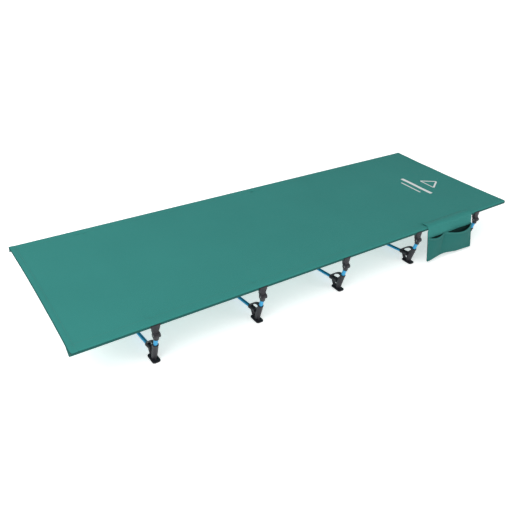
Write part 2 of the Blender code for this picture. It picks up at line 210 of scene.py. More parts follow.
def add_math(tree, operation, first, second):
    return add_node(tree, "ShaderNodeMath", {0: first, 1: second}, operation=operation).outputs[0]


def add_bump(tree, height, strength, distance, normal=None):
    inputs = {"Height": height, "Strength": strength, "Distance": distance}
    if normal is not None:
        inputs["Normal"] = normal
    return add_node(tree, "ShaderNodeBump", inputs).outputs["Normal"]


def gray(value):
    return (value, value, value, 1.0)


def object_place(tree):
    return add_node(tree, "ShaderNodeTexCoord", {}).outputs["Object"]


def weave(tree, place):
    """Height of a plain weave: warp and weft threads that pass over each other in turn."""
    wave_scale = 0.1 * math.pi / WEAVE_PITCH
    settings = {"Vector": place, "Scale": wave_scale, "Distortion": 0.0}
    warp = add_node(tree, "ShaderNodeTexWave", settings, bands_direction="X").outputs["Fac"]
    weft = add_node(tree, "ShaderNodeTexWave", settings, bands_direction="Y").outputs["Fac"]
    settings = {"Vector": place, "Scale": 1 / WEAVE_PITCH}
    check = add_node(tree, "ShaderNodeTexChecker", settings).outputs["Fac"]
    over = add_math(tree, "MULTIPLY", warp, check)
    rest = add_math(tree, "SUBTRACT", 1.0, check)
    under = add_math(tree, "MULTIPLY", weft, rest)
    return add_math(tree, "ADD", over, under)


def make_cloth(name, light, dark):
    material, tree, shader = new_material(name)
    place = add_node(tree, "ShaderNodeUVMap", {}, uv_map="cloth").outputs["UV"]
    body = object_place(tree)
    threads = weave(tree, place)
    broad = spread(tree, add_noise(tree, body, 5.0), 0.0, 1.0)
    mottle = spread(tree, add_noise(tree, place, 230.0, detail=4.0, roughness=0.65), 0.0, 1.0)
    color = mix_colors(tree, spread(tree, mottle, 0.25, 0.75, 0.0, 1.0), (*dark, 1.0), (*light, 1.0))
    color = mix_colors(tree, spread(tree, broad, 0.0, 0.35, 0.0, 1.0), color, (*light, 1.0))
    # Painted shade in the gaps between threads and a little painted light on their tops, taken from the
    # weave's height.
    weave_gap_shade = spread(tree, threads, 0.86, 1.06, 0.0, 1.0)
    color = mix_colors(tree, 1.0, color, weave_gap_shade, blend="MULTIPLY")
    roughness = spread(tree, mottle, 0.70, 0.86, 0.0, 1.0)
    soft = add_bump(tree, add_noise(tree, place, 60.0, detail=2.0), 0.25, 0.0012)
    normal = add_bump(tree, threads, 0.45, 0.00025, soft)
    set_inputs(tree, shader, Base_Color=color, Roughness=roughness, Normal=normal)
    set_inputs(tree, shader, Sheen_Weight=0.02, Sheen_Roughness=0.45, Specular_IOR_Level=0.08)
    return material


def make_thread():
    material, tree, shader = new_material("thread")
    place = object_place(tree)
    ply = add_node(
        tree, "ShaderNodeTexWave", {"Vector": place, "Scale": 500.0, "Distortion": 1.0},
        bands_direction="DIAGONAL",
    ).outputs["Fac"]
    color = mix_colors(tree, ply, (0.018, 0.110, 0.095, 1.0), (0.040, 0.200, 0.175, 1.0))
    roughness = spread(tree, ply, 0.45, 0.7, 0.0, 1.0)
    normal = add_bump(tree, ply, 0.5, 0.0002)
    set_inputs(tree, shader, Base_Color=color, Roughness=roughness, Normal=normal, Sheen_Weight=0.2)
    return material


def make_plastic(name, base, worn):
    material, tree, shader = new_material(name)
    place = object_place(tree)
    grain = add_noise(tree, place, 1400.0, detail=2.0)
    cloud = add_noise(tree, place, 40.0, detail=4.0)
    edge = add_node(tree, "ShaderNodeNewGeometry", {}).outputs["Pointiness"]
    rub = add_math(tree, "MULTIPLY", spread(tree, edge, 0.0, 0.5, 0.55, 0.66), spread(tree, cloud, 0.2, 0.9))
    color = mix_colors(tree, spread(tree, cloud, 0.0, 0.5), (*base, 1.0), (*[1.5 * c for c in base], 1.0))
    color = mix_colors(tree, rub, color, (*worn, 1.0))
    roughness = spread(tree, cloud, 0.42, 0.60)
    normal = add_bump(tree, grain, 0.30, 0.00015)
    set_inputs(tree, shader, Base_Color=color, Roughness=roughness, Normal=normal, Specular_IOR_Level=0.45)
    return material


def make_tube(name, base, deep, metallic, stretch, rough):
    """Anodised aluminium with fine drawing marks along the tube."""
    material, tree, shader = new_material(name)
    place = add_node(
        tree, "ShaderNodeMapping", {"Vector": object_place(tree), "Scale": stretch}
    ).outputs["Vector"]
    marks = add_noise(tree, place, 900.0, detail=3.0)
    cloud = add_noise(tree, object_place(tree), 55.0, detail=3.0)
    edge = add_node(tree, "ShaderNodeNewGeometry", {}).outputs["Pointiness"]
    color = mix_colors(tree, spread(tree, cloud, 0.0, 0.6), (*base, 1.0), (*deep, 1.0))
    color = mix_colors(tree, spread(tree, edge, 0.0, 0.3, 0.56, 0.66), color, gray(0.5))
    roughness = spread(tree, marks, rough, rough + 0.16)
    normal = add_bump(tree, marks, 0.12, 0.0001)
    set_inputs(tree, shader, Base_Color=color, Roughness=roughness, Normal=normal, Metallic=metallic)
    return material


def make_steel():
    material, tree, shader = new_material("pin_steel")
    marks = add_noise(tree, object_place(tree), 700.0)
    color = mix_colors(tree, spread(tree, marks, 0.0, 1.0), gray(0.26), gray(0.42))
    set_inputs(tree, shader, Base_Color=color, Roughness=spread(tree, marks, 0.28, 0.5), Metallic=1.0)
    return material


def make_print():
    material, tree, shader = new_material("print")
    place = add_node(tree, "ShaderNodeUVMap", {}, uv_map="cloth").outputs["UV"]
    threads = weave(tree, place)
    patch = add_noise(tree, place, 300.0, detail=4.0)
    color = mix_colors(tree, spread(tree, patch, 0.0, 0.5), gray(0.80), (0.55, 0.68, 0.66, 1.0))
    roughness = spread(tree, patch, 0.5, 0.75)
    normal = add_bump(tree, threads, 0.35, 0.0002)
    set_inputs(tree, shader, Base_Color=color, Roughness=roughness, Normal=normal)
    return material


def make_floor_paint():
    material, tree, shader = new_material("floor")
    cloud = add_noise(tree, object_place(tree), 3.0)
    color = mix_colors(tree, cloud, gray(0.90), gray(0.94))
    set_inputs(tree, shader, Base_Color=color, Emission_Color=color, Emission_Strength=0.58)
    set_inputs(tree, shader, Roughness=0.9, Specular_IOR_Level=0.1)
    return material


# ---- mesh helpers ----
def add_object(name, data):
    item = bpy.data.objects.new(name, data)
    bpy.context.scene.collection.objects.link(item)
    return item


def bake(item):
    """Returns the object as its modifiers leave it, in the frame's own axes."""
    bpy.context.view_layer.update()
    evaluated = item.evaluated_get(bpy.context.evaluated_depsgraph_get())
    mesh = bpy.data.meshes.new_from_object(evaluated)
    shape = bmesh.new()
    shape.from_mesh(mesh)
    bmesh.ops.remove_doubles(shape, verts=shape.verts, dist=1e-6)
    shape.to_mesh(mesh)
    shape.free()
    mesh.transform(item.matrix_world)
    name = item.name
    bpy.data.objects.remove(item)
    return add_object(name, mesh)


def combine(target, tool, operation):
    modifier = target.modifiers.new(operation.title(), "BOOLEAN")
    modifier.operation = operation
    modifier.object = tool
    modifier.solver = "EXACT"
    result = bake(target)
    bpy.data.objects.remove(tool)
    return result


def combine_all(target, tools, operation):
    for tool in tools:
        target = combine(target, tool, operation)
    return target


def soften(item, width):
    """Rounds the sharp edges of a finished shape."""
    bevel = item.modifiers.new("Bevel", "BEVEL")
    bevel.width = width
    bevel.segments = 2
    bevel.limit_method = "ANGLE"
    bevel.angle_limit = math.radians(32)
    bevel.harden_normals = False
    return bake(item)


def arc(center, radius, start_deg, end_deg, steps):
    points = []
    for step in range(steps + 1):
        angle = math.radians(start_deg + (end_deg - start_deg) * step / steps)
        points.append((center[0] + radius * math.cos(angle), center[1] + radius * math.sin(angle)))
    return points


# Columns carry an outline's own axes and its thickness to the frame's.
SIDE_PLANE = Matrix(((0, 0, 1, 0), (1, 0, 0, 0), (0, 1, 0, 0), (0, 0, 0, 1)))
FRONT_PLANE = Matrix(((1, 0, 0, 0), (0, 0, -1, 0), (0, 1, 0, 0), (0, 0, 0, 1)))


def prism(name, outline, half_thickness, matrix, rounding=0.0):
    """An outline as thick as asked, with its edges rounded, laid in the plane that matrix gives."""
    shape = bmesh.new()
    bottom = [shape.verts.new((a, b, -half_thickness)) for a, b in outline]
    face = shape.faces.new(bottom)
    raised = bmesh.ops.extrude_face_region(shape, geom=[face])["geom"]
    moved = [part for part in raised if isinstance(part, bmesh.types.BMVert)]
    bmesh.ops.translate(shape, verts=moved, vec=(0.0, 0.0, 2 * half_thickness))
    bmesh.ops.recalc_face_normals(shape, faces=shape.faces)
    if rounding:
        rim = [edge for edge in shape.edges if edge.verts[0].co.z == edge.verts[1].co.z]
        bmesh.ops.bevel(
            shape, geom=rim, offset=rounding, segments=2, profile=0.5,
            affect="EDGES", clamp_overlap=True,
        )
    mesh = bpy.data.meshes.new(name)
    shape.to_mesh(mesh)
    shape.free()
    mesh.transform(matrix)
    return add_object(name, mesh)


def side_prism(name, outline, half_thickness, rounding=0.0):
    return prism(name, outline, half_thickness, SIDE_PLANE, rounding)


def front_prism(name, outline, half_thickness, center_y):
    return prism(name, outline, half_thickness, Matrix.Translation((0, center_y, 0)) @ FRONT_PLANE)


def face_outward(mesh):
    shape = bmesh.new()
    shape.from_mesh(mesh)
    bmesh.ops.recalc_face_normals(shape, faces=shape.faces)
    shape.to_mesh(mesh)
    shape.free()


def turned(name, profile, matrix, closed=False, sides=SIDES):
    """A profile of (radius, height) points turned about Z, then placed by matrix."""
    mesh = bpy.data.meshes.new(name)
    points = [(radius, 0.0, height) for radius, height in profile]
    edges = [(index, index + 1) for index in range(len(points) - 1)]
    if closed:
        edges.append((len(points) - 1, 0))
    mesh.from_pydata(points, edges, [])
    item = add_object(name, mesh)
    screw = item.modifiers.new("Screw", "SCREW")
    screw.steps = sides
    screw.render_steps = sides
    screw.use_merge_vertices = True
    screw.merge_threshold = 1e-6
    item.matrix_world = matrix
    item = bake(item)
    face_outward(item.data)
    return item


def along(start, end):
    """Carries the Z axis to the line from start to end."""
    start, end = Vector(start), Vector(end)
    turn = (end - start).to_track_quat("Z", "Y").to_matrix().to_4x4()
    return Matrix.Translation(start) @ turn


def rod_between(name, start, end, radius, edge=0.0, sides=SIDES):
    """A solid cylinder from start to end, its end edges rounded."""
    length = (Vector(end) - Vector(start)).length
    if edge:
        bottom = [(radius - edge, 0.0), (radius - 0.3 * edge, 0.3 * edge), (radius, edge)]
        top = [(r, length - h) for r, h in reversed(bottom)]
        profile = [(0.0, 0.0), *bottom, *top, (0.0, length)]
    else:
        profile = [(0.0, 0.0), (radius, 0.0), (radius, length), (0.0, length)]
    return turned(name, profile, along(start, end), sides=sides)


def tube_between(name, start, end, radius, bore):
    """An open tube with a small chamfer at each rim."""
    length = (Vector(end) - Vector(start)).length
    edge = 0.0006
    profile = [
        (bore, edge / 2), (bore + edge / 2, 0.0), (radius - edge, 0.0), (radius, edge),
        (radius, length - edge), (radius - edge, length),
        (bore + edge / 2, length), (bore, length - edge / 2),
    ]
    return turned(name, profile, along(start, end), closed=True)


def ring(name, start, end, distance, length, radius):
    """A raised collar on the line from start to end, at a distance along it."""
    axis = (Vector(end) - Vector(start)).normalized()
    low = Vector(start) + axis * distance
    return rod_between(name, low, low + axis * length, radius, edge=min(0.0007, length / 3))


def block(name, low, high, corner=0.0, edge=0.0):
    """A box with round upright edges and softened flat ones."""
    low, high = Vector(low), Vector(high)
    size = high - low
    half_x, half_y = size.x / 2, size.y / 2
    outline = []
    for sign_x, sign_y, start in ((1, 1, 0), (-1, 1, 90), (-1, -1, 180), (1, -1, 270)):
        center = (sign_x * (half_x - corner), sign_y * (half_y - corner))
        outline += arc(center, corner, start, start + 90, 6) if corner else [center]
    place = Matrix.Translation((low + high) / 2)
    return prism(name, outline, size.z / 2, place, rounding=edge)


def shade(item, material, smooth_deg=35):
    item.data.materials.clear()
    item.data.materials.append(material)
    item.data.shade_smooth()
    item.data.set_sharp_from_angle(angle=math.radians(smooth_deg))


def give(item, body, slot, *nodes):
    """Hands a finished piece to the body it rides on, and hides the nodes it stands for."""
    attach(item, body)
    if nodes:
        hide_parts(*nodes)


# ---- cloth helpers ----
def lay_flat(mesh, flat):
    """Gives each vertex its place on the cut cloth."""
    layer = mesh.uv_layers.new(name="cloth")
    corners = np.empty(len(mesh.loops), dtype=np.int32)
    mesh.loops.foreach_get("vertex_index", corners)
    layer.data.foreach_set("uv", np.asarray(flat, dtype=np.float32).reshape(-1, 2)[corners].ravel())


def cloth_mesh(name, places, flat, material, kept=None, extra_faces=()):
    """A sheet through rows and columns of points; flat is each point's place on the cut cloth."""
    rows, columns = places.shape[:2]
    faces = list(extra_faces)
    for row in range(rows - 1):
        for column in range(columns - 1):
            if kept is None or kept[row, column]:
                first = row * columns + column
                faces.append((first, first + 1, first + columns + 1, first + columns))
    mesh = bpy.data.meshes.new(name)
    mesh.from_pydata(places.reshape(-1, 3).tolist(), [], faces)
    lay_flat(mesh, flat)
    shape = bmesh.new()
    shape.from_mesh(mesh)
    loose = [vert for vert in shape.verts if not vert.link_faces]
    bmesh.ops.delete(shape, geom=loose, context="VERTS")
    shape.to_mesh(mesh)
    shape.free()
    item = add_object(name, mesh)
    shade(item, material, smooth_deg=60)
    wall = item.modifiers.new("Thickness", "SOLIDIFY")
    wall.thickness = CLOTH
    wall.offset = -1.0
    wall.use_rim = True
    return item


def ease(value):
    """A smooth step from 0 to 1 as value goes from 0 to 1."""
    value = np.clip(value, 0.0, 1.0)
    return value * value * (3 - 2 * value)


def waves(points, scale, seed):
    """Soft noise at each point, from -1 to 1."""
    return np.array([noise.noise(Vector((p[0] * scale, p[1] * scale, seed))) for p in points])


def stitch_row(points, normal, material, pitch=STITCH_PITCH, name="row"):
    """A row of separate stitches on a line of points, standing up along the cloth's normal."""
    points = np.array([tuple(point) for point in points])
    up = np.array(tuple(normal), dtype=float)
    up /= np.linalg.norm(up)
    radius = STITCH_R
    steps = np.linalg.norm(np.diff(points, axis=0), axis=1)
    run = np.concatenate([[0.0], np.cumsum(steps)])
    count = max(2, int(run[-1] / pitch))
    verts, faces = [], []
    for index in range(count):
        middle = (index + 0.5) / count * run[-1]
        reach = STITCH_SHARE * pitch / 2
        stations = [middle - reach, middle - 0.6 * reach, middle + 0.6 * reach, middle + reach]
        sites = [np.array([np.interp(s, run, points[:, axis]) for axis in range(3)]) for s in stations]
        way = (sites[3] - sites[0]) / max(np.linalg.norm(sites[3] - sites[0]), 1e-9)
        side = np.cross(way, up)
        base = len(verts)
        verts.append(sites[0] - up * radius * 0.8)
        for site in sites[1:3]:
            verts += [site + side * radius, site + up * radius, site - side * radius, site - up * radius]
        verts.append(sites[3] - up * radius * 0.8)
        for corner in range(4):
            after = (corner + 1) % 4
            faces.append((base, base + 1 + after, base + 1 + corner))
            faces.append((base + 1 + corner, base + 1 + after, base + 5 + after, base + 5 + corner))
            faces.append((base + 9, base + 5 + corner, base + 5 + after))
    mesh = bpy.data.meshes.new(name)
    mesh.from_pydata([tuple(v) for v in verts], [], faces)
    item = add_object(name, mesh)
    shade(item, material, smooth_deg=80)
    return item


def join(items, name):
    """One object out of several with the same material."""
    joined = bmesh.new()
    for item in items:
        joined.from_mesh(item.data)
    mesh = bpy.data.meshes.new(name)
    joined.to_mesh(mesh)
    joined.free()
    for material in items[0].data.materials:
        mesh.materials.append(material)
    for item in items:
        bpy.data.objects.remove(item)
    return add_object(name, mesh)


# ---- bed ----
def leg_x(index):
    low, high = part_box(f"cross_rod_{index + 1}")
    return (low.x + high.x) / 2


LEG_XS = [leg_x(index) for index in range(LEG_COUNT)]


def crease_fans():
    """Short creases that fan in from each clip over the cloth: start, direction, length, width, height."""
    dice = random.Random(11)
    creases = []
    for x in LEG_XS:
        for axis, inward in ((NEAR_AXIS, 1), (FAR_AXIS, -1)):
            for turn_deg in (-48, -24, -6, 15, 34, 52):
                turn = math.radians(turn_deg + dice.uniform(-7, 7))
                way = (math.sin(turn), inward * math.cos(turn))
                start = (x + dice.uniform(-0.012, 0.012), axis + inward * dice.uniform(0.006, 0.016))
                length = dice.uniform(0.045, 0.105)
                height = dice.choice((-1, -1, 1)) * dice.uniform(0.0005, 0.0011)
                creases.append((start, way, length, dice.uniform(0.0030, 0.0052), height))
    return creases


CREASES = crease_fans()


def bed_relief(x, y):
    """How far the taut cloth stands above or below its flat plane, for arrays of places."""
    across = (y - BED_CENTER_Y) / POLE_Y
    inside = np.clip(1 - across**2, 0.0, 1.0)
    relief = -0.0018 * inside
    flat_xy = np.stack([x.ravel(), y.ravel()], axis=1)
    soft = waves(flat_xy * (1.0, 1.6), 5.0, 2.0).reshape(x.shape)
    fine = waves(flat_xy * (1.0, 0.7), 21.0, 7.0).reshape(x.shape)
    relief += (0.0011 * soft + 0.0003 * fine) * ease(inside * 2.5)
    for start, way, length, width, height in CREASES:
        run = (x - start[0]) * way[0] + (y - start[1]) * way[1]
        off = (x - start[0]) * way[1] - (y - start[1]) * way[0]
        taper = ease(run / 0.012) * ease((length - run) / (0.7 * length))
        spread_width = width * (1 + 0.8 * np.clip(run / length, 0, 1))
        relief += height * taper * np.exp(-((off / spread_width) ** 2))
    from_end = np.minimum(x - BED_LOW.x, BED_HIGH.x - x)
    relief += 0.0008 * ease((HEM + 0.0015 - from_end) / 0.003)
    relief -= 0.0006 * np.exp(-(((from_end - HEM + 0.002) / 0.0022) ** 2))
    pucker = np.cos(2 * math.pi * y / 0.019 + 2.0 * np.sin(9.0 * y))
    relief += 0.00028 * pucker * np.exp(-(((from_end - HEM) / 0.014) ** 2)) * ease(inside * 6)
    relief -= 0.0012 * ease(1 - from_end / 0.0028)
    seam = np.minimum(y - NEAR_AXIS, FAR_AXIS - y) - SEAM_INSET + 0.0015
    relief -= 0.0004 * np.exp(-((seam / 0.0020) ** 2))
    return relief


def end_pull(x, y):
    """The short ends curve in a little between the poles, and the foot end's corners are round."""
    across = (y - BED_CENTER_Y) / (WIDTH / 2)
    reach = ease((np.abs(x) - LENGTH / 2 + 0.15) / 0.15)
    pull = -np.sign(x) * END_DIP * np.clip(1 - across**2, 0.0, 1.0) * reach
    from_edge = np.clip((1 - np.abs(across)) * WIDTH / 2, 0.0, CORNER_R)
    rounded = CORNER_R - np.sqrt(np.maximum(CORNER_R**2 - (CORNER_R - from_edge) ** 2, 0.0))
    return pull + rounded * ease((-x - LENGTH / 2 + 0.03) / 0.03)


def bed_columns():
    """Places along the bed, closer together at the clips and the ends."""
    end_steps = (0.0, 0.0012, 0.0028, 0.006, 0.012, 0.018, 0.0205, 0.0235, 0.028)
    clip_steps = (0.004, 0.008, 0.013, 0.019, 0.026, 0.034, 0.043)
    marks = [BED_LOW.x + step for step in end_steps]
    marks += [-mark for mark in marks]
    for x in LEG_XS:
        marks += list(np.linspace(x - WINDOW_HALF, x + WINDOW_HALF, 11))
        for side in (-1, 1):
            marks += [x + side * (WINDOW_HALF + step) for step in clip_steps]
    marks = sorted(marks)
    filled = [marks[0]]
    for mark in marks[1:]:
        gap = mark - filled[-1]
        pieces = max(1, round(gap / 0.009))
        filled += [filled[-1] + gap * (piece + 1) / pieces for piece in range(pieces)]
    return np.array(filled)


def sleeve_rows():
    """Y in from the pole's axis, height above it and outward direction of each row of a sleeve."""
    seam_z = SLEEVE_R - 0.0015
    reach = math.degrees(math.acos(SLEEVE_R / math.hypot(SEAM_INSET, seam_z)))
    last = math.degrees(math.atan2(seam_z, -SEAM_INSET)) + reach - 360
    turn = math.radians(last)
    tangent = (-SLEEVE_R * math.cos(turn), SLEEVE_R * math.sin(turn))
    lean = (math.cos(turn), math.sin(turn))
    rows = []
    for inset in (SEAM_INSET, 0.0205, WINDOW_INSET, 0.0115):
        share = (SEAM_INSET - inset) / (SEAM_INSET - tangent[0])
        rows.append((inset, seam_z + (tangent[1] - seam_z) * share, *lean))
    window_deg = math.degrees(math.asin(WINDOW_TOP / SLEEVE_R))
    angles = [*np.linspace(last, window_deg, 13), *np.linspace(window_deg, 90, 8)[1:]]
    for angle in angles:
        turn = math.radians(angle)
        rows.append((-SLEEVE_R * math.cos(turn), SLEEVE_R * math.sin(turn), math.cos(turn), math.sin(turn)))
    return rows


SLEEVE_ROWS = sleeve_rows()
WINDOW_ROWS = (2, 16)  # from the window's inner edge to its top one


def bed_rows():
    """Y, Z and outward direction of each row across the bed, from the near seam to the far one."""
    near = [(NEAR_AXIS + inset, POLE_Z + up, -out, rise) for inset, up, out, rise in SLEEVE_ROWS]
    far = [(FAR_AXIS - inset, POLE_Z + up, out, rise) for inset, up, out, rise in reversed(SLEEVE_ROWS)]
    steps = [0.0]
    while steps[-1] < FAR_AXIS - NEAR_AXIS:
        from_near = steps[-1]
        from_far = FAR_AXIS - NEAR_AXIS - steps[-1]
        close = min(from_near, from_far)
        steps.append(steps[-1] + (0.004 if close < 0.034 else 0.0065 if close < 0.10 else 0.014))
    total = steps[-1]
    top = [(NEAR_AXIS + (FAR_AXIS - NEAR_AXIS) * step / total, BED_TOP, 0.0, 1.0) for step in steps[1:-1]]
    return np.array([*near, *top, *far])


def make_bed_cloth(material, shaded_edge_material):
    rows, xs = bed_rows(), bed_columns()
    steps = np.linalg.norm(np.diff(rows[:, :2], axis=0), axis=1)
    run = np.concatenate([[0.0], np.cumsum(steps)])
    x, y = np.meshgrid(xs, rows[:, 0])
    relief = bed_relief(x, y)
    upright = ease(rows[:, 3:4] * 1.6 - 0.6)
    relief = relief * upright
    places = np.stack([x + end_pull(x, y), y, np.broadcast_to(rows[:, 1:2], x.shape)], axis=2)
    places[:, :, 1] += relief * rows[:, 2:3]
    places[:, :, 2] += relief * rows[:, 3:4]
    flat = np.stack([x, np.broadcast_to(run[:, None], x.shape)], axis=2)
    kept = np.ones((len(rows) - 1, len(xs) - 1), dtype=bool)
    middles = (xs[1:] + xs[:-1]) / 2
    low, high = WINDOW_ROWS
    for leg in LEG_XS:
        window = np.abs(middles - leg) < WINDOW_HALF
        kept[low:high, window] = False
        kept[len(rows) - 1 - high:len(rows) - 1 - low, window] = False
    sleeve = len(SLEEVE_ROWS) + 5
    caps = [
        tuple(row * len(xs) for row in range(sleeve)),
        tuple(row * len(xs) for row in range(len(rows) - sleeve, len(rows))),
    ]
    cloth = cloth_mesh("bed_cloth", places, flat, material, kept=kept, extra_faces=caps)
    cloth.data.materials.append(shaded_edge_material)
    # The sleeve's lower outer strip and the last 3 mm of each short end get a darker copy of the cloth:
    # painted shade where the overhead light falls off.
    centers = np.array([face.center for face in cloth.data.polygons])
    unpulled = centers[:, 0] - end_pull(centers[:, 0], centers[:, 1])
    dark = (centers[:, 2] < POLE_Z + SHADE_EDGE_Z) | (np.abs(unpulled) > LENGTH / 2 - 0.0030)
    cloth.data.polygons.foreach_set("material_index", dark.astype(np.int32))
    give(cloth, BED, "green_cloth", "bed_sheet")


def bed_surface(xs, ys, lift=0.0002):
    """Points on top of the cloth."""
    x, y = np.asarray(xs, float), np.asarray(ys, float)
    z = BED_TOP + bed_relief(x, y) + lift
    return np.stack([x + end_pull(x, y), y, z], axis=1)


def make_bed_stitches(material):
    rows = []
    xs = np.linspace(BED_LOW.x + 0.004, BED_HIGH.x - 0.004, 480)
    for axis, inward in ((NEAR_AXIS, 1), (FAR_AXIS, -1)):
        y = axis + inward * (SEAM_INSET - 0.0015)
        line = bed_surface(xs, np.full_like(xs, y))
        rows.append(stitch_row(line, UP, material))
    ys = np.linspace(NEAR_AXIS + 0.002, FAR_AXIS - 0.002, 200)
    for x in (BED_LOW.x + HEM - 0.002, BED_HIGH.x - HEM + 0.002):
        line = bed_surface(np.full_like(ys, x), ys)
        rows.append(stitch_row(line, UP, material))
    give(join(rows, "bed_stitches"), BED, "green_cloth")


def make_mark(material):
    """A plain printed mark near the head end: a triangle over two bars, one long and one short."""
    outlines = [
        [(0.709, 0.080), (0.709, -0.095), (0.726, -0.095), (0.726, 0.080)],
        [(0.679, 0.050), (0.679, -0.063), (0.686, -0.063), (0.686, 0.050)],
        [(0.773, 0.018), (0.773, -0.054), (0.779, -0.054), (0.779, 0.018)],
        [(0.773, 0.018), (0.779, 0.024), (0.841, -0.014), (0.841, -0.022)],
        [(0.773, -0.054), (0.779, -0.060), (0.841, -0.022), (0.841, -0.014)],
    ]
    verts, faces, flat = [], [], []
    for corners in outlines:
        a, b, c, d = [np.array(corner) for corner in corners]
        across = max(1, round(np.linalg.norm(b - a) / 0.006))
        deep = max(1, round(np.linalg.norm(d - a) / 0.006))
        base = len(verts)
        for i in range(across + 1):
            for j in range(deep + 1):
                near_edge = a + (b - a) * i / across
                far_edge = d + (c - d) * i / across
                place = near_edge + (far_edge - near_edge) * j / deep
                verts.append(bed_surface([place[0]], [place[1]], lift=0.00012)[0])
                flat.append(place)
        for i in range(across):
            for j in range(deep):
                first = base + i * (deep + 1) + j
                faces.append((first, first + deep + 1, first + deep + 2, first + 1))
    mesh = bpy.data.meshes.new("printed_mark")
    mesh.from_pydata([tuple(v) for v in verts], [], faces)
    lay_flat(mesh, flat)
    item = add_object("printed_mark", mesh)
    shade(item, material)
    for polygon in mesh.polygons:
        if polygon.normal.z < 0:
            polygon.flip()
    give(item, BED, "green_cloth")


# ---- pocket ----
def pouch_place(x, down, out):
    """A point of the pocket from its place down the lean and out from the back cloth."""
    y = HINGE_Y - down * math.sin(POUCH_LEAN) - out * math.cos(POUCH_LEAN)
    z = HINGE_Z - down * math.cos(POUCH_LEAN) + out * math.sin(POUCH_LEAN)
    return (x, y, z)


def pocket_x(u):
    return FLAP_LOW.x + u * POCKET_LENGTH


def flare(u, share):
    """How far out from its mean lean the cloth hangs (in, where negative), at share of the way down."""
    corner = -0.002 * (1 - u) ** 2 - 0.003 * math.sin(math.pi * u) + 0.001 * u**3
    ripple = 0.0016 * math.sin(2 * math.pi * (u * 1.3 + 0.1)) * math.sin(math.pi * min(1.0, share))
    return corner * share**1.5 + ripple * share


def pouch_bottom(u):
    """How far down the pocket's lower edge lies."""
    lifted = 0.0095 * math.sin(math.pi * min(1.0, u / 0.72)) ** 2
    return POUCH_LENGTH - lifted + 0.004 * u**3


def cover_line(u):
    """The pocket cover from its free edge on the bed, up over the pole and down to its hem."""
    x = pocket_x(u)
    crest = BED_TOP + COVER_TOP - 0.0014 * math.cos(2 * math.pi * (1.5 * u + 0.1))
    center = (NEAR_AXIS + COVER_CREST, crest - COVER_R)
    peel = 0.0060 * float(ease(1 - u * POCKET_LENGTH / 0.030))
    line = []
    for step in range(12):
        inset = COVER_DEPTH + (COVER_CREST - COVER_DEPTH) * step / 12
        share = (inset - COVER_CREST) / (COVER_DEPTH - COVER_CREST)
        low = BED_TOP + 0.0008 + peel
        z = crest + (low - crest) * float(ease(share)) + 0.0005 * math.sin(70 * x) * share
        shift = -0.005 * share * (1 - u) ** 4 - 0.030 * share**1.4 * float(ease((u - 0.55) / 0.45))
        line.append((x + shift, NEAR_AXIS + inset, z))
    for step in range(13):
        turn = math.radians(90 + 97 * step / 12)
        line.append((x, center[0] + COVER_R * math.cos(turn), center[1] + COVER_R * math.sin(turn)))
    start_y, start_z = line[-1][1:]
    hem_z = COVER_HEM_Z + 0.0008 * math.sin(9.0 * u + 1.0)
    for step in range(1, 11):
        share = step / 10
        z = start_z + (hem_z - start_z) * share
        ripple = 0.0007 * math.sin(2 * math.pi * (2.4 * u + 0.2)) * share
        line.append((x, start_y - (start_z - z) * 0.235 - ripple, z))
    return line


def sheet_from_lines(name, lines, material):
    """A cloth whose columns are lines of points, each as long as it is on the cut cloth."""
    places = np.array(lines).transpose(1, 0, 2)
    steps = np.linalg.norm(np.diff(places, axis=0), axis=2)
    run = np.concatenate([np.zeros((1, places.shape[1])), np.cumsum(steps, axis=0)])
    along_x = np.broadcast_to(places[-1, :, 0], run.shape)
    flat = np.stack([along_x, run], axis=2)
    return cloth_mesh(name, places[:, ::-1], flat[:, ::-1], material)


def make_pocket_cover(material):
    """The cloth that is sewn to the bed, turns down over its edge and hides the pocket's top."""
    lines = [cover_line(column / POCKET_COLUMNS) for column in range(POCKET_COLUMNS + 1)]
    cover = sheet_from_lines("pocket_cover", lines, material)
    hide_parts("pocket_flap")
    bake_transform(cover)
    return lines


def make_pocket_back(material):
    """The cloth that hangs behind the pocket, from under the cover to the lower edge; its very dark cloth is
    painted shade for the pocket's inside.
    """
    lines = []
    for column in range(POCKET_COLUMNS + 1):
        u = column / POCKET_COLUMNS
        bottom = pouch_bottom(u)
        line = []
        for step in range(29):
            down = 0.003 + (bottom - 0.003) * step / 28
            line.append(pouch_place(pocket_x(u), down, flare(u, down / POUCH_LENGTH) + 0.0002))
        lines.append(line)
    back = sheet_from_lines("pocket_back", lines, material)
    give(back, POCKET, "green_cloth")


def split_at(share):
    """Where along the pocket the seam between its compartments is, at share of the way down."""
    return POUCH_SPLIT - 0.10 * share**1.1


def gape(u, share):
    """How far the front cloth stands off the back one, and how far it sags, at share of the way down."""
    split = split_at(share)
    if u < split:
        place = u / split
        body = math.sin(math.pi * place) ** 0.8
        open_by, sag = 0.0090, 0.0100
        swell = 0.0030
    else:
        place = (u - split) / (1 - split)
        body = math.sin(math.pi * place**1.15) ** 0.75
        open_by, sag = 0.0205, 0.0165
        swell = 0.0050
    fade = (1 - share) ** 1.35
    return body * (open_by * fade + swell * math.sin(math.pi * share) ** 1.2), sag * body


def make_pocket_front(material):
    """The outer cloth of the pocket: two compartments that sag open at the hem."""
    columns, rows = 73, 27
    places = np.zeros((rows, columns, 3))
    flat = np.zeros((rows, columns, 2))
    for column in range(columns):
        u = column / (columns - 1)
        x = pocket_x(u)
        hem = POUCH_HEM + gape(u, 0.0)[1]
        bottom = pouch_bottom(u)
        for row in range(rows):
            share = row / (rows - 1)
            down = hem + (bottom - hem) * share
            out = gape(u, share)[0] + flare(u, down / POUCH_LENGTH) + 0.0020
            if row < 3:
                out += (0.0, 0.0006, 0.0007)[row]
            places[row, column] = pouch_place(x, down, out)
            flat[row, column] = (x, down)
    front = cloth_mesh("pocket_front", places[:, ::-1], flat[:, ::-1], material)
    give(front, POCKET, "green_cloth", "pocket_pouch")
    return places


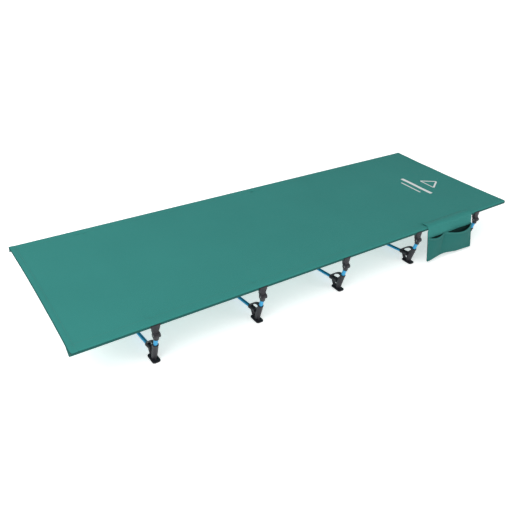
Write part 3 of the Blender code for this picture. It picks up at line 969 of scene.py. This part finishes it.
def ribbon(name, points, normal, width, material):
    """A narrow folded tape that follows a line, its flat side facing along normal."""
    up = Vector(normal).normalized()
    verts, faces, flat = [], [], []
    run = 0.0
    section = [(-1, -1), (-1, 0.6), (-0.8, 1), (0.8, 1), (1, 0.6), (1, -1)]
    for index, point in enumerate(points):
        before, after = points[max(0, index - 1)], points[min(len(points) - 1, index + 1)]
        way = (Vector(after) - Vector(before)).normalized()
        side = way.cross(up).normalized()
        if index:
            run += (Vector(point) - Vector(points[index - 1])).length
        for a, b in section:
            verts.append(Vector(point) + side * (a * width / 2) + up * (b * TAPE / 2))
            flat.append((run, a * width / 2))
    count = len(section)
    for index in range(len(points) - 1):
        for corner in range(count):
            after = (corner + 1) % count
            first = index * count
            faces.append((first + corner, first + count + corner, first + count + after, first + after))
    faces.append(tuple(range(count)))
    faces.append(tuple(reversed(range((len(points) - 1) * count, len(points) * count))))
    mesh = bpy.data.meshes.new(name)
    mesh.from_pydata(verts, [], faces)
    lay_flat(mesh, flat)
    face_outward(mesh)
    item = add_object(name, mesh)
    shade(item, material, smooth_deg=50)
    return item


def make_pocket_trim(front, cloth, thread):
    """Binding round the pocket's sides and bottom, a folded hem on its mouth, and the stitches."""
    out = Vector((0.0, -math.cos(POUCH_LEAN), math.sin(POUCH_LEAN)))
    rows, columns = front.shape[:2]
    hem = [Vector(point) + out * 0.0005 for point in front[1]]
    tapes = [ribbon("mouth_hem", hem, out, 0.0075, cloth)]
    edge = [front[row, 0] for row in range(rows)]
    edge += [front[rows - 1, column] for column in range(1, columns)]
    edge += [front[row, columns - 1] for row in range(rows - 2, -1, -1)]
    inner = []
    for point in edge:
        shift = Vector((0, 0, 0))
        if point[0] < FLAP_LOW.x + 0.001:
            shift.x = 0.0025
        if point[0] > FLAP_HIGH.x - 0.001:
            shift.x = -0.0025
        inner.append(Vector(point) + shift + out * 0.0004)
    tapes.append(ribbon("edge_binding", inner, out, 0.0060, cloth))
    give(join(tapes, "pocket_binding"), POCKET, "green_cloth")
    hem_line = [Vector(point) + out * 0.0014 for point in front[2]]
    seam = [point + out * 0.0009 for point in inner]
    divider = []
    for row in range(rows):
        share = row / (rows - 1)
        place = split_at(share) * (columns - 1)
        low = int(place)
        point = front[row, low] + (front[row, low + 1] - front[row, low]) * (place - low)
        divider.append(Vector(point) + out * 0.0003)
    stitches = [stitch_row(line, out, thread, POCKET_PITCH) for line in (hem_line, seam, divider)]
    give(join(stitches, "pocket_stitches"), POCKET, "green_cloth")


def make_cover_stitches(lines, material):
    """A seam beside the cover's free edge on the bed, and one along its hem that the pocket carries."""
    up, outward = Vector(UP), Vector((0.0, -1.0, 0.0))
    free_edge = [Vector(line[1]) + up * 0.0004 for line in lines[3:-1]]
    give(stitch_row(free_edge, up, material, POCKET_PITCH, "cover_seam"), BED, "green_cloth")
    hem = [Vector(line[-3]) + outward * 0.0003 for line in lines]
    give(stitch_row(hem, outward, material, POCKET_PITCH, "cover_hem_stitches"), POCKET, "green_cloth")


# ---- legs ----
def near_y(inset):
    """Y on the near side, before the bed's centre is moved, of a point U in from the edge."""
    return inset - WIDTH / 2


def out_y(outward):
    return -POLE_Y - outward


def leg_place(index, side):
    place = Matrix.Translation((LEG_XS[index], BED_CENTER_Y, 0))
    if side == FAR:
        place = place @ Matrix.Rotation(math.pi, 4, "Z")
    return place


def tube_point(distance):
    inset = RIM_U - distance * math.sin(LEAN)
    return Vector((0.0, near_y(inset), RIM_Z + distance * math.cos(LEAN)))


def rod_point(distance):
    run = distance / math.hypot(1.0, ROD_SLOPE)
    return Vector((0.0, near_y(MOUTH_U - run), MOUTH_Z + run * ROD_SLOPE))


def place_copies(template, word, slot, body_of, has_node=True):
    """One piece for each leg and side, all on one mesh, standing for the node of its name if it has one."""
    for index in range(LEG_COUNT):
        for side in (NEAR, FAR):
            name = f"{word}_{side}_{index + 1}"
            item = add_object(f"fine_{name}", template.data)
            item.matrix_world = leg_place(index, side)
            nodes = [name] if has_node else []
            give(item, body_of(side, index), slot, *nodes)
    bpy.data.objects.remove(template)


def leg_body(side, index):
    return f"leg_{index + 1}"


def foot_points(points):
    return [(near_y(u), z) for u, z in points]


def make_feet(material):
    web_outline = [
        (0.012, 0.003), (0.047, 0.003), (0.0500, 0.0062), (0.0525, 0.010), (0.0570, 0.0170), (0.061, 0.0235),
        (0.0635, 0.033), (0.0565, 0.0342), (0.050, 0.0355), (0.0440, 0.0372), (0.0385, 0.0395),
        (0.0343, 0.0420), (0.0305, 0.045), (0.0275, 0.0485), (0.025, 0.0525), (0.018, 0.052), (0.016, 0.030),
    ]
    web = side_prism("web", foot_points(web_outline), 0.0032, rounding=0.0007)
    rib_outline = [
        (0.016, 0.003), (0.0465, 0.003), (0.0497, 0.0075), (0.0530, 0.0130), (0.0600, 0.0240),
        (0.0574, 0.0258), (0.0505, 0.0150), (0.0472, 0.0095), (0.0430, 0.0060), (0.0230, 0.0060),
    ]
    rib = side_prism("rib", foot_points(rib_outline), 0.0047, rounding=0.0006)
    arch_outer = [
        (0.014, 0.0685), (0.020, 0.0690), (0.026, 0.0680), (0.032, 0.0660), (0.038, 0.0630),
        (0.0440, 0.0590), (0.0495, 0.0545), (0.0585, 0.0465), (0.0675, 0.0375),
    ]
    arch_inner = [
        (0.061, 0.0315), (0.0545, 0.0415), (0.0475, 0.0495), (0.0425, 0.0537), (0.037, 0.0570),
        (0.0322, 0.0598), (0.027, 0.0620), (0.017, 0.0610),
    ]
    arch = side_prism("arch", foot_points(arch_outer + arch_inner), 0.0055, rounding=0.0009)
    base_low, base_high = (-0.0135, near_y(0.0025), 0.0), (0.0135, near_y(0.0495), 0.0045)
    base = block("base", base_low, base_high, corner=0.008, edge=0.0007)
    tube_low, tube_top = tube_point(-0.066), tube_point(0.0)
    rod_low, rod_top = rod_point(0.036), rod_point(0.0)
    added = [
        web,
        rib,
        rod_between("tube_socket", tube_low, tube_top, SOCKET_R - 0.0004, edge=0.0008),
        ring("tube_collar", tube_low, tube_top, 0.0605, 0.0052, SOCKET_R),
        ring("tube_bead", tube_low, tube_top, 0.0480, 0.0022, SOCKET_R - 0.0001),
        rod_between("rod_socket", rod_low, rod_top, ROD_SOCKET_R - 0.0003, edge=0.0008),
        ring("rod_collar", rod_low, rod_top, 0.0310, 0.0048, ROD_SOCKET_R),
        arch,
    ]
    foot = combine_all(base, added, "UNION")
    upper = near_y(0.0297), 0.0378
    lower = near_y(0.0378), 0.0165
    removed = [
        rod_between("upper_hole", (-0.02, *upper), (0.02, *upper), 0.0028, sides=20),
        rod_between("lower_hole", (-0.02, *lower), (0.02, *lower), 0.0055, sides=24),
        rod_between("tube_bore", tube_point(TUBE_START - 0.001), tube_point(0.01), TUBE_R + RUNNING_GAP),
        rod_between("rod_bore", rod_point(0.028), rod_point(-0.01), ROD_R + RUNNING_GAP),
        block("floor", (-0.05, near_y(0.0), -0.05), (0.05, near_y(0.12), 0.0)),
    ]
    foot = combine_all(foot, removed, "DIFFERENCE")
    shade(foot, material)
    place_copies(foot, "foot", "black_plastic", leg_body)


def make_uprights(material):
    tube = tube_between("tube", tube_point(TUBE_START), tube_point(TUBE_END), TUBE_R, TUBE_BORE_R)
    shade(tube, material)
    place_copies(tube, "upright", "blue_tube", leg_body)


def make_cross_rods(material):
    """The rod bows down between its two sockets, and is straight inside them."""
    span = -near_y(MOUTH_U)
    sag = ROD_SLOPE * span / 2
    tip = rod_point(0.027)
    steps = 40
    route = [tip, rod_point(0.013)]
    for step in range(steps + 1):
        y = -span + 2 * span * step / steps
        route.append(Vector((0.0, y, MOUTH_Z - sag * (1 - (y / span) ** 2))))
    route += [Vector((0.0, -point.y, point.z)) for point in (rod_point(0.013), tip)]
    curve = bpy.data.curves.new("rod", "CURVE")
    curve.dimensions = "3D"
    curve.bevel_depth = ROD_R
    curve.bevel_resolution = 6
    curve.use_fill_caps = True
    spline = curve.splines.new("POLY")
    spline.points.add(len(route) - 1)
    for place, point in zip(spline.points, route):
        place.co = (*point, 1.0)
    rod = bake(add_object("rod", curve))
    shade(rod, material)
    for index in range(LEG_COUNT):
        item = add_object(f"fine_cross_rod_{index + 1}", rod.data)
        item.matrix_world = leg_place(index, NEAR)
        give(item, f"leg_{index + 1}", "blue_tube", f"cross_rod_{index + 1}")
    bpy.data.objects.remove(rod)


# ---- clips ----
def clip_points(points):
    return [(out_y(o), z) for o, z in points]


def about_pole(radius, start_deg, end_deg, steps):
    return arc((0.0, POLE_Z), radius, start_deg, end_deg, steps)


def barrel(name, radius, start_x, end_x, edge=0.0):
    y = out_y(BARREL_O)
    return rod_between(name, (start_x, y, BARREL_Z), (end_x, y, BARREL_Z), radius, edge=edge)


def hourglass(bottom_half):
    """The clip's outline from the side of the bed: a wide claw, a waist and a barrel."""
    half = [
        (bottom_half, 0.085), (bottom_half, 0.1170), (NECK_HALF + 0.0006, 0.1202), (NECK_HALF, 0.1225),
        (NECK_HALF, NECK_Z - 0.0010), (NECK_HALF + 0.0022, NECK_Z + 0.0028),
        (CLAW_HALF - 0.0012, CLAW_Z - 0.0016), (CLAW_HALF, CLAW_Z), (CLAW_HALF, BED_TOP),
    ]
    return half + [(-x, z) for x, z in reversed(half)]


def make_heads(material):
    inner_r = POLE_R + RUNNING_GAP
    profile = [
        *about_pole(inner_r + SADDLE_WALL, 180, 236, 8),
        (-0.0045, 0.1200), (0.0010, 0.1080), (0.0100, 0.1080), (0.0070, 0.1180),
        (0.0045, POLE_Z - 0.0125),
        *about_pole(inner_r, 305, 180, 18),
    ]
    body = side_prism("neck", clip_points(profile), CLAW_HALF)
    body = combine(body, front_prism("hourglass", hourglass(NECK_HALF), 0.05, out_y(0.0)), "INTERSECT")
    body = soften(body, 0.0006)
    cup_low, cup_top = tube_point(CUP_START), tube_point(CUP_END)
    added = [
        barrel("knuckle", KNUCKLE_R, -KNUCKLE_HALF, KNUCKLE_HALF, edge=0.0005),
        rod_between("cup", cup_low, cup_top, CUP_R - 0.0004, edge=0.0006),
        ring("cup_collar", cup_low, cup_top, 0.0, 0.0040, CUP_R),
    ]
    body = combine_all(body, added, "UNION")
    removed = [
        barrel("left_room", KNUCKLE_ROOM_R, -0.03, -KNUCKLE_HALF),
        barrel("right_room", KNUCKLE_ROOM_R, KNUCKLE_HALF, 0.03),
        barrel("pin_hole", PIN_R + RUNNING_GAP, -0.03, 0.03),
        rod_between("tube_bore", tube_point(0.01), tube_point(TUBE_END + 0.0006), TUBE_R + RUNNING_GAP),
    ]
    body = combine_all(body, removed, "DIFFERENCE")
    shade(body, material)
    place_copies(body, "clip_head", "black_plastic", leg_body)


def jaw_body(side, index):
    return f"jaw_{side}_{index + 1}"


def make_jaws(plastic, steel):
    inner_r = POLE_R + RUNNING_GAP
    outer_o = inner_r + JAW_WALL
    top = POLE_Z + 0.0010
    foot_z = BARREL_Z - 0.0010
    profile = [
        (0.0085, foot_z), (0.0078, 0.1170), (0.0050, POLE_Z - 0.0115),
        *about_pole(inner_r, -36, 0, 8),
        (inner_r, top), (outer_o - 0.0008, top + 0.0003), (outer_o, top - 0.0006),
        (outer_o, CLAW_Z), (0.0112, NECK_Z), (0.0175, foot_z),
    ]
    plate = side_prism("plate", clip_points(profile), CLAW_HALF)
    shape = front_prism("hourglass", hourglass(BARREL_HALF - 0.0003), 0.05, out_y(0.0))
    jaw = combine(plate, shape, "INTERSECT")
    jaw = soften(jaw, 0.0006)
    inner_x = KNUCKLE_HALF + RUNNING_GAP
    knuckles = [
        barrel("left_knuckle", KNUCKLE_R, -BARREL_HALF, -inner_x, edge=0.0006),
        barrel("right_knuckle", KNUCKLE_R, inner_x, BARREL_HALF, edge=0.0006),
    ]
    jaw = combine_all(jaw, knuckles, "UNION")
    removed = [
        barrel("room", KNUCKLE_ROOM_R, -inner_x, inner_x),
        barrel("pin_hole", PIN_R, -0.03, 0.03),
    ]
    jaw = combine_all(jaw, removed, "DIFFERENCE")
    shade(jaw, plastic)
    place_copies(jaw, "clip_jaw", "black_plastic", jaw_body)
    pin = barrel("pin", PIN_R - 0.00005, -BARREL_HALF + 0.0003, BARREL_HALF - 0.0003, edge=0.0008)
    shade(pin, steel)
    place_copies(pin, "clip_pin", "black_plastic", jaw_body, has_node=False)


# ---- side poles ----
def make_side_poles(tube_material, plug_material):
    """Five tube sections a side with their spigots, and a plug in the open end."""
    for side, axis in ((NEAR, NEAR_AXIS), (FAR, FAR_AXIS)):
        body = f"side_pole_{side}"
        for number in range(1, POLE_SECTIONS + 1):
            node = f"side_pole_{side}_{number}"
            low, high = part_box(node)
            spigot_length = 0.0 if number == POLE_SECTIONS else SPIGOT_LENGTH
            end_x = high.x - spigot_length
            section = tube_between(node, (low.x, axis, POLE_Z), (end_x, axis, POLE_Z), POLE_R, POLE_BORE_R)
            if spigot_length:
                start = (end_x - SPIGOT_HOLD, axis, POLE_Z)
                spigot = rod_between("spigot", start, (high.x, axis, POLE_Z), SPIGOT_R, edge=0.0006)
                section = join([section, spigot], "section")
            shade(section, tube_material)
            section.name = f"fine_{node}"
            give(section, body, "black_tube", node)
        low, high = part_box(f"pole_plug_{side}")
        cap_low = high.x - PLUG_HEAD
        crown = arc((POLE_R - PLUG_ROUND, -PLUG_ROUND), PLUG_ROUND, 0, 90, 6)
        profile = [
            (0.0, 0.0), (SPIGOT_R, 0.0), (SPIGOT_R, cap_low - low.x), (POLE_R, cap_low - low.x),
            *[(r, h + high.x - low.x) for r, h in crown],
            (0.0, high.x - low.x),
        ]
        plug = turned("plug", profile, along((low.x, axis, POLE_Z), (high.x, axis, POLE_Z)))
        shade(plug, plug_material)
        plug.name = f"fine_pole_plug_{side}"
        give(plug, body, "black_plastic", f"pole_plug_{side}")


# ---- floor and lights ----
def add_floor(material):
    mesh = bpy.data.meshes.new("floor")
    half, drop = 14.0, -0.0004
    corners = [(-half, -half, drop), (half, -half, drop), (half, half, drop), (-half, half, drop)]
    mesh.from_pydata(corners, [], [(0, 1, 2, 3)])
    floor = add_object("floor", mesh)
    floor.data.materials.append(material)


def add_light(name, place, target, size, power):
    data = bpy.data.lights.new(name, "AREA")
    data.shape = "RECTANGLE"
    data.size, data.size_y = size
    data.energy = power
    light = add_object(name, data)
    light.location = place
    light.rotation_euler = (Vector(target) - Vector(place)).to_track_quat("-Z", "Y").to_euler()


def add_lights():
    world = bpy.data.worlds.new("studio")
    world.use_nodes = True
    background = world.node_tree.nodes["Background"]
    background.inputs["Color"].default_value = (1.0, 1.0, 1.0, 1.0)
    background.inputs["Strength"].default_value = 0.62
    bpy.context.scene.world = world
    add_light("key", (-2.2, -0.6, 2.4), (-0.3, 0, 0), (2.5, 2.5), 55)
    add_light("side", (1.8, -2.6, 1.0), (0.2, 0, 0.05), (1.0, 0.8), 10)
    bpy.context.scene.view_settings.view_transform = "Standard"


add_camera()
green = make_cloth("cloth", (0.043, 0.264, 0.237), (0.030, 0.202, 0.181))
# A darker copy of the bed cloth: painted shade for the sleeve's outer strip and the short ends.
shaded_edge_green = make_cloth("edge_cloth_painted_shade", (0.020, 0.118, 0.106), (0.014, 0.088, 0.080))
# A near-black copy of the cloth: painted shade for the inside of the pocket behind its open mouth.
shaded_pocket_back = make_cloth("pocket_back_painted_shade", (0.0075, 0.040, 0.036), (0.005, 0.028, 0.026))
# A darker copy of the bed cloth: painted shade on the pocket's upright front.
shaded_pocket_green = make_cloth("pocket_cloth_painted_shade", (0.028, 0.172, 0.154), (0.019, 0.130, 0.117))
# A darker copy of the bed cloth: painted shade on the binding round the pocket's upright front.
shaded_trim_green = make_cloth("trim_cloth_painted_shade", (0.036, 0.196, 0.176), (0.026, 0.150, 0.135))
thread = make_thread()
plastic = make_plastic("plastic", (0.0105, 0.0102, 0.0150), (0.045, 0.043, 0.056))
blue = make_tube("blue_tube", (0.036, 0.345, 0.620), (0.026, 0.285, 0.540), 0.88, (1.0, 1.0, 0.06), 0.24)
black = make_tube("black_tube", (0.014, 0.014, 0.017), (0.008, 0.008, 0.010), 0.6, (0.06, 1.0, 1.0), 0.30)
steel = make_steel()
printed = make_print()

make_bed_cloth(green, shaded_edge_green)
make_bed_stitches(thread)
make_mark(printed)
cover_lines = make_pocket_cover(green)
make_cover_stitches(cover_lines, thread)
make_pocket_back(shaded_pocket_back)
front_places = make_pocket_front(shaded_pocket_green)
make_pocket_trim(front_places, shaded_trim_green, thread)
make_feet(plastic)
make_uprights(blue)
make_cross_rods(blue)
make_heads(plastic)
make_jaws(plastic, steel)
make_side_poles(black, plastic)
add_floor(make_floor_paint())
add_lights()
